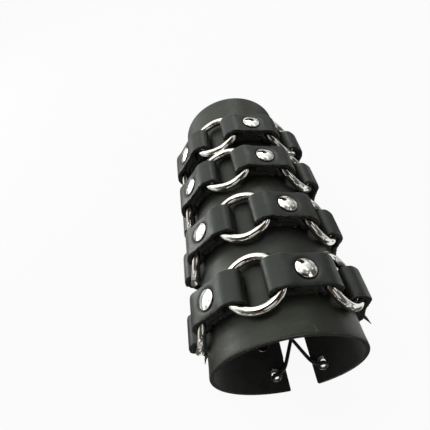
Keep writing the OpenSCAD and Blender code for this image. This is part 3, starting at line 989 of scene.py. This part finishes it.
def add_eyelets(finish):
    """The eyelets, turned from their rolled profile, and the washers that they are rolled over."""
    bore = EYELET_BORE / 2
    foot = -WASHER_DROP - WASHER_T
    flange = EYELET_FLANGE_D / 2
    high = EYELET_FLANGE_H
    eyelet = [
        (bore, foot), (bore, -0.4 * MM), (bore + 0.08 * MM, 0), (bore + 0.25 * MM, 0.35 * MM),
        (bore + 0.55 * MM, 0.6 * MM), (bore + 0.95 * MM, high), (flange - 0.6 * MM, 0.62 * MM),
        (flange - 0.2 * MM, 0.42 * MM), (flange, 0.2 * MM), (flange, CREASE),
        (bore + EYELET_WALL, CREASE), (bore + EYELET_WALL, foot + 0.1 * MM),
        (bore + 0.75 * MM, foot - 0.02 * MM), (bore + 0.6 * MM, foot - 0.12 * MM),
        (bore + 0.2 * MM, foot - 0.1 * MM), (bore, foot)]
    inner = bore + EYELET_WALL + CREASE
    outer = flange - 0.3 * MM
    edge = WASHER_T / 2
    washer = [(inner, foot), (inner, foot + WASHER_T)]
    washer += arc_points(outer - edge, foot + edge, edge, 90, -90, 6)
    washer += [(inner, foot)]
    places = [eyelet_place(at, side) for at in EYELETS_AT for side in SIDES.values()]
    for node, profile in (("eyelets", eyelet), ("eyelet_washers", washer)):
        bm = turned_set(places, [profile] * len(places), EYELET_STEPS)
        finish_piece(f"nickel_{node}", bm, [finish], "gauntlet", [node])


# Lace
# The route's points are those of the part's source.

LACE_R = LACE_D / 2
LACE_PLAY = 0.15 * MM
LACE_OUT = EYELET_FLANGE_H + LACE_R + 0.45 * MM
LACE_IN = -WASHER_DROP - WASHER_T - LACE_R - LACE_PLAY
LACE_BEND = (LACE_OUT - LACE_IN) / 2
LACE_BEND_AT = EYELET_IN + 0.9 * MM - LACE_BEND
LACE_OVER = LACE_R + LACE_PLAY
LACE_CROSS = 0.3 * MM
LACE_UNDER_CROSS = LACE_CROSS - LACE_D - 0.5 * MM
LACE_EDGE = GAP_HALF - 0.2 * MM
LACE_SLANT = 4.5 * MM
LACE_JOIN = -SLEEVE_T / 2
END_SIDE = 0.6 * MM
END_LEAN = 1 * MM
LACE_FLOOR_H = LACE_R + 0.02 * MM
JOIN_REACH = 1 * MM
CURVE_STEPS = 5
TIP_POINTS = 6
TIP_R_SHARE = 0.25

# Points of the loose ends on the floor, in millimetres
LOOSE_ENDS = {
    "left": [
        (-23.5, -90), (-30, -88.5), (-35, -84), (-36.5, -74), (-35.5, -60), (-37.5, -50),
        (-43, -45.5), (-48.5, -48.5), (-51.5, -55), (-57, -60.5), (-61.8, -65), (-63.6, -70.2)],
    "right": [
        (23.5, -90), (29, -88), (33, -82), (34.5, -72), (34.5, -58), (36, -50.5), (40, -48),
        (44, -51), (45, -58), (46.5, -64.5), (49.4, -69.2), (51.4, -74)]}


def on_back(s, height, at):
    """A point at a distance round the sleeve from the gap's middle, and at a height over it."""
    turn = math.pi - s / sleeve_r(at)
    far = sleeve_r(at) + height
    return LIE @ Vector((far * math.sin(turn), at, far * math.cos(turn)))


def bore_bend(side, at, last, count):
    """The lace's bend through an eyelet, from the inside."""
    return [
        on_back(
            side * (LACE_BEND_AT + LACE_BEND * math.cos(math.radians(a))),
            (LACE_OUT + LACE_IN) / 2 + LACE_BEND * math.sin(math.radians(a)), at)
        for a in steps(-90, last, count)]


def crossing(side, from_at, to_at, middle_h):
    """The lace's slant over the gap, from outside one edge to inside the other."""
    return [
        on_back(side * LACE_EDGE, LACE_OVER, from_at - LACE_SLANT),
        on_back(0, middle_h, (from_at + to_at) / 2),
        on_back(-side * LACE_EDGE, -SLEEVE_T - LACE_OVER, to_at + LACE_SLANT)]


def in_last_eyelet(side, heights):
    """Points in the eyelet nearest the elbow, where the held lace and a loose end meet."""
    return [on_back(side * (EYELET_IN + END_SIDE), height, EYELETS_AT[0]) for height in heights]


def lace_half(side, middle_h):
    """Half of the held lace, from the bar at the wrist to the eyelet nearest the elbow."""
    route = []
    for k in range(len(EYELETS_AT) - 1, 0, -1):
        route += bore_bend(side, EYELETS_AT[k], 90, 3)
        route += crossing(side, EYELETS_AT[k], EYELETS_AT[k - 1], middle_h)
        side = -side
    route += bore_bend(side, EYELETS_AT[0], -30, 1)
    return route + in_last_eyelet(side, (LACE_JOIN - JOIN_REACH, LACE_JOIN))


def held_route():
    """The held lace: both halves, joined by the bar under the gap at the wrist."""
    bar = on_back(0, -SLEEVE_T - LACE_OVER, EYELETS_AT[-1])
    return lace_half(-1, LACE_UNDER_CROSS)[::-1] + [bar] + lace_half(1, LACE_CROSS)


def loose_route(side, points):
    """A loose end: out of its eyelet, then along the floor."""
    first = in_last_eyelet(side, (LACE_JOIN, LACE_JOIN + JOIN_REACH))
    lean = on_back(side * (EYELET_IN + END_SIDE + END_LEAN), LACE_OUT + LACE_PLAY, EYELETS_AT[0])
    return first + [lean] + [Vector((x * MM, y * MM, LACE_FLOOR_H)) for x, y in points]


def softened_route(points, count):
    """More points on a smooth curve through the route's own points."""
    ends = [2 * points[0] - points[1]] + points + [2 * points[-1] - points[-2]]
    made = []
    for a, b, c, d in zip(ends, ends[1:], ends[2:], ends[3:]):
        for t in steps(0, 1, count)[:-1]:
            made.append(0.5 * (
                2 * b + (c - a) * t + (2 * a - 5 * b + 4 * c - d) * t ** 2
                + (3 * b - 3 * c + d - a) * t ** 3))
    made.append(points[-1])
    for point in made:
        point.z = max(point.z, LACE_FLOOR_H)
    return made


def add_lace(name, route, node, finish, point=False):
    """A length of round lace along its route, drawn to a point where it has one."""
    route = softened_route(route, CURVE_STEPS)
    curve = bpy.data.curves.new(name, "CURVE")
    curve.dimensions = "3D"
    curve.bevel_depth = LACE_R
    curve.bevel_resolution = 3
    curve.use_fill_caps = True
    spline = curve.splines.new("POLY")
    spline.points.add(len(route) - 1)
    for spot, place in zip(spline.points, route):
        spot.co = (*place, 1)
    if point:
        for k, spot in enumerate(reversed(spline.points[-TIP_POINTS:])):
            spot.radius = TIP_R_SHARE + (1 - TIP_R_SHARE) * smooth_step(k, 0, TIP_POINTS)
    curve.materials.append(finish)
    piece = bpy.data.objects.new(name, curve)
    bpy.context.scene.collection.objects.link(piece)
    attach(piece, "gauntlet")
    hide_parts(node)


# Stage

WHITE = (1, 1, 1)
FLOOR_HALF = 3
FLOOR_TONE = (0.82, 0.82, 0.82)
FLOOR_DARK = (0.03, 0.022, 0.018)
FLOOR_LIGHT = (1.1, 1.1, 1.08)
FLOOR_CLUTTER = 9

# Share of the floor's own glow in place of its lit surface, as the eye and the metal see it
GLOW_TO_EYE = 0.93
GLOW_TO_METAL = 0.8


def add_stage():
    """A pale floor under the piece. The metal sees dark patches on it."""
    bm = bmesh.new()
    bmesh.ops.create_grid(bm, x_segments=1, y_segments=1, size=FLOOR_HALF)
    data = bpy.data.meshes.new("floor")
    bm.to_mesh(data)
    bm.free()
    floor = bpy.data.objects.new("floor", data)
    bpy.context.scene.collection.objects.link(floor)
    finish, tree, shader = new_finish("pale_floor")
    shader.inputs["Base Color"].default_value = (*FLOOR_TONE, 1)
    shader.inputs["Roughness"].default_value = 1.0
    shader.inputs["Specular IOR Level"].default_value = 0.0
    path = add_node(tree, "LightPath")
    by_metal = add_node(tree, "Math", {1: GLOW_TO_METAL}, operation="MULTIPLY")
    join(tree, path.outputs["Is Glossy Ray"], by_metal.inputs[0])
    by_eye = add_node(tree, "Math", {1: GLOW_TO_EYE}, operation="MULTIPLY")
    join(tree, path.outputs["Is Camera Ray"], by_eye.inputs[0])
    share = add_node(tree, "Math", operation="ADD")
    join(tree, by_eye.outputs[0], share.inputs[0])
    join(tree, by_metal.outputs[0], share.inputs[1])
    clutter = cloud(tree, add_node(tree, "TexCoord").outputs["Object"], FLOOR_CLUTTER, 2, 0.5)
    patches = blend_colour(tree, ramp(tree, clutter, 0.50, 0.54, 0, 1), FLOOR_DARK, FLOOR_LIGHT)
    glow = add_node(tree, "Emission", {"Strength": 1.0})
    tone = blend_colour(tree, path.outputs["Is Camera Ray"], patches, WHITE)
    join(tree, tone, glow.inputs["Color"])
    mix = add_node(tree, "MixShader")
    join(tree, share.outputs[0], mix.inputs[0])
    join(tree, shader.outputs[0], mix.inputs[1])
    join(tree, glow.outputs[0], mix.inputs[2])
    join(tree, mix.outputs[0], tree.nodes["Material Output"].inputs["Surface"])
    data.materials.append(finish)


def add_light(name, place, aim, size, power):
    data = bpy.data.lights.new(name, "AREA")
    data.shape = "DISK"
    data.size = size
    data.energy = power
    light = bpy.data.objects.new(name, data)
    bpy.context.scene.collection.objects.link(light)
    light.location = place
    light.rotation_euler = (Vector(aim) - Vector(place)).to_track_quat("-Z", "Y").to_euler()


def facing(tree, direction, towards, low, high):
    """1 where a direction is near another one, falling to 0 between two angles in degrees."""
    dot = add_node(tree, "VectorMath", operation="DOT_PRODUCT")
    join(tree, direction, dot.inputs[0])
    dot.inputs[1].default_value = Vector(towards).normalized()
    made = add_node(tree, "MapRange", {
        "From Min": math.cos(math.radians(low)), "From Max": math.cos(math.radians(high)),
        "To Min": 0.0, "To Max": 1.0}, interpolation_type="SMOOTHSTEP")
    join(tree, dot.outputs["Value"], made.inputs["Value"])
    return made.outputs["Result"]


ROOM_DIM = (0.10, 0.10, 0.09)
ROOM_BRIGHT = (1.2, 1.22, 1.17)
ROOM_WINDOW = (1.7, 1.75, 1.65)
ROOM_PALE = (1.7, 1.7, 1.62)
ROOM_DARK = (0.036, 0.021, 0.013)
ROOM_PLAIN = (0.36, 0.37, 0.35)
ROOM_CLUTTER = 2.9

# A direction, with the angles at which a place round it starts and is full
BRIGHT_SIDE = ((0.05, 0.88, 0.46), 70, 24)
WINDOW_SIDE = ((-0.78, 0.6, 0.2), 65, 22)
DARK_PLACES = [((0.28, -0.5, 0.82), 41, 37), ((0.36, 0.88, 0.26), 17, 12)]


def add_room():
    """A room for the metal to reflect. Other surfaces get a plain light level, the eye white."""
    world = bpy.data.worlds.new("room")
    bpy.context.scene.world = world
    world.use_nodes = True
    tree = world.node_tree
    back = tree.nodes["Background"]
    direction = add_node(tree, "TexCoord").outputs["Generated"]
    tone = blend_colour(tree, facing(tree, direction, *BRIGHT_SIDE), ROOM_DIM, ROOM_BRIGHT)
    tone = blend_colour(tree, facing(tree, direction, *WINDOW_SIDE), tone, ROOM_WINDOW)
    clutter = cloud(tree, direction, ROOM_CLUTTER, 3, 0.5)
    tone = blend_colour(tree, ramp(tree, clutter, 0.57, 0.62, 0, 0.6), tone, ROOM_DARK)
    tone = blend_colour(tree, ramp(tree, clutter, 0.43, 0.39, 0, 0.9), tone, ROOM_PALE)
    for place in DARK_PLACES:
        tone = blend_colour(tree, facing(tree, direction, *place), tone, ROOM_DARK)
    path = add_node(tree, "LightPath")
    tone = blend_colour(tree, path.outputs["Is Glossy Ray"], ROOM_PLAIN, tone)
    tone = blend_colour(tree, path.outputs["Is Camera Ray"], tone, WHITE)
    join(tree, tone, back.inputs["Color"])


# Place, aim, size and power of each light
LIGHTS = {
    "window": ((-0.62, 0.4, 0.24), (0, 0, 0.05), 0.3, 1.5),
    "top": ((-0.1, 0.2, 0.97), (0, -0.06, 0.08), 0.3, 1.0),
    "back": ((0.35, 0.8, 0.62), (0, 0.04, 0.08), 0.3, 1.35),
    "fill": ((0.3, -0.7, 0.6), (0, 0, 0.04), 0.6, 0.5)}


add_camera()
lace_finish = waxed_leather(
    "lace_leather", dark=(0.010, 0.010, 0.011), light=(0.022, 0.022, 0.022),
    warm=(0.02, 0.02, 0.018), roughness=0.42, gleam=(0.95, 1.0, 0.95))
add_lace("round_lace", held_route(), "lace", lace_finish)
for end, points in LOOSE_ENDS.items():
    add_lace(
        f"round_lace_end_{end}", loose_route(SIDES[end], points), f"lace_end_{end}", lace_finish,
        point=True)

cut = cut_edge("cut_edge", (0.003, 0.003, 0.003), (0.016, 0.016, 0.014))
flesh = flesh_side("flesh_side", (0.006, 0.006, 0.006), (0.016, 0.016, 0.015))
sleeve_grain = waxed_leather(
    "sleeve_grain", dark=(0.0055, 0.0062, 0.0055), light=(0.012, 0.013, 0.0115),
    warm=(0.017, 0.018, 0.012), roughness=0.44, gleam=(0.88, 0.93, 0.82), scratches=SCRATCHES)
strap_grain = waxed_leather(
    "strap_grain", dark=(0.0052, 0.006, 0.0055), light=(0.0115, 0.0125, 0.0115),
    warm=(0.016, 0.017, 0.012), roughness=0.42, gleam=(0.83, 0.9, 0.85))
add_sleeve([sleeve_grain, flesh, cut])
add_straps([strap_grain, flesh, cut])
add_rings(nickel("ring_nickel", (0.82, 0.805, 0.77), 0.03, 0.08, 0.2))
add_rivets(nickel("rivet_nickel", (0.80, 0.79, 0.76), 0.03, 0.08, 0.1))
add_eyelets(nickel("eyelet_nickel", (0.76, 0.75, 0.72), 0.10, 0.22, 0.2))
add_stage()
add_room()
for name, settings in LIGHTS.items():
    add_light(name, *settings)
bpy.context.scene.view_settings.view_transform = "Standard"
